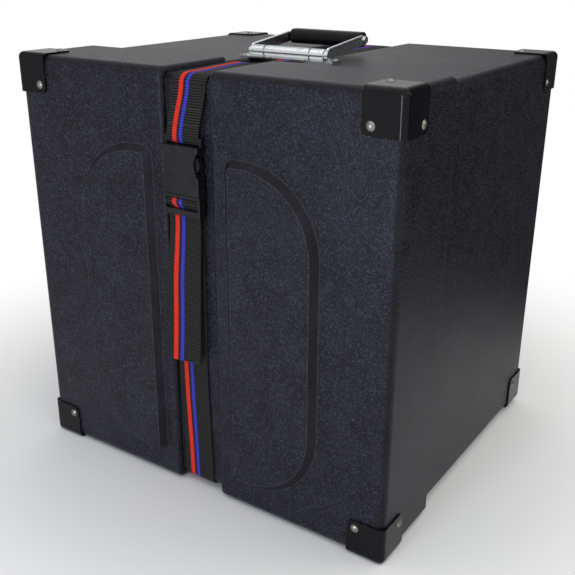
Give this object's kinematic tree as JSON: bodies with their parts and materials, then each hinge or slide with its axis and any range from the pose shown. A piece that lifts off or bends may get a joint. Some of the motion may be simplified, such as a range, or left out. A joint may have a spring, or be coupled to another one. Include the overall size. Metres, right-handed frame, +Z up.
{
  "type": "drum case",
  "caption": "Square moulded case for a marching snare drum: a shallow lid slides over a deep base, with steel corners, an all-round buckled strap and a folding top handle.",
  "frame": {"origin": "centre of the case's footprint, on the plane of the lid's lower corner protectors that it stands on", "axes": "+Z up to the handle, -Y out of the lid's front with the buckle, +X to the right as seen from the front"},
  "size_m": [0.4474, 0.3903, 0.4595],
  "materials": {
    "shell_plastic": "satin",
    "protector_enamel": "gloss",
    "rivet_nickel": "satin",
    "washer_steel": "satin",
    "lining_foam": "matte",
    "strap_webbing": "matte",
    "buckle_plastic": "satin",
    "handle_steel": "satin",
    "grip_plastic": "satin"
  },
  "bodies": {
    "base": {"base_back_foam": "lining_foam", "base_dome_rivets": "rivet_nickel", "base_floor_foam": "lining_foam", "base_flush_rivets": "rivet_nickel", "base_left_foam": "lining_foam", "base_protector_bottom_left": "protector_enamel", "base_protector_bottom_right": "protector_enamel", "base_protector_top_left": "protector_enamel", "base_protector_top_right": "protector_enamel", "base_right_foam": "lining_foam", "base_rivet_washers": "washer_steel", "base_shell": "shell_plastic", "base_top_foam": "lining_foam", "handle_bracket": "handle_steel", "handle_bracket_rivets": "rivet_nickel", "handle_bracket_washers": "washer_steel", "strap_rear_run": "strap_webbing"},
    "lid": {"buckle_frame": "buckle_plastic", "buckle_receiver": "buckle_plastic", "lid_dome_rivets": "rivet_nickel", "lid_flush_rivets": "rivet_nickel", "lid_foam": "lining_foam", "lid_protector_bottom_left": "protector_enamel", "lid_protector_bottom_right": "protector_enamel", "lid_protector_top_left": "protector_enamel", "lid_protector_top_right": "protector_enamel", "lid_rivet_washers": "washer_steel", "lid_shell": "shell_plastic", "strap_lower_run": "strap_webbing", "strap_upper_run": "strap_webbing"},
    "handle": {"handle_arm_left": "handle_steel", "handle_arm_right": "handle_steel", "handle_grip": "grip_plastic", "handle_grip_pin": "handle_steel", "handle_hinge_pin": "handle_steel"},
    "prong_left": {"buckle_prong_left": "buckle_plastic"},
    "prong_right": {"buckle_prong_right": "buckle_plastic"}
  },
  "joints": [
    {"name": "lid_slide", "type": "slide", "parent": "base", "child": "lid", "axis": [0, -1, 0], "range_m": [0, 0.16]},
    {"name": "handle_swing", "type": "hinge", "parent": "base", "child": "handle", "pos_m": [0.007, -0.02965, 0.4424], "axis": [1, 0, 0], "range_deg": [0, 100]},
    {"name": "prong_left_squeeze", "type": "hinge", "parent": "lid", "child": "prong_left", "pos_m": [-0.019, -0.1873, 0.3351], "axis": [0, 1, 0], "range_deg": [0, 7], "stiffness_Nm_per_rad": 0.12, "springref_deg": -2.86},
    {"name": "prong_right_squeeze", "type": "hinge", "parent": "lid", "child": "prong_right", "pos_m": [0.011, -0.1873, 0.3351], "axis": [0, -1, 0], "range_deg": [0, 7], "stiffness_Nm_per_rad": 0.12, "springref_deg": -2.86}
  ]
}
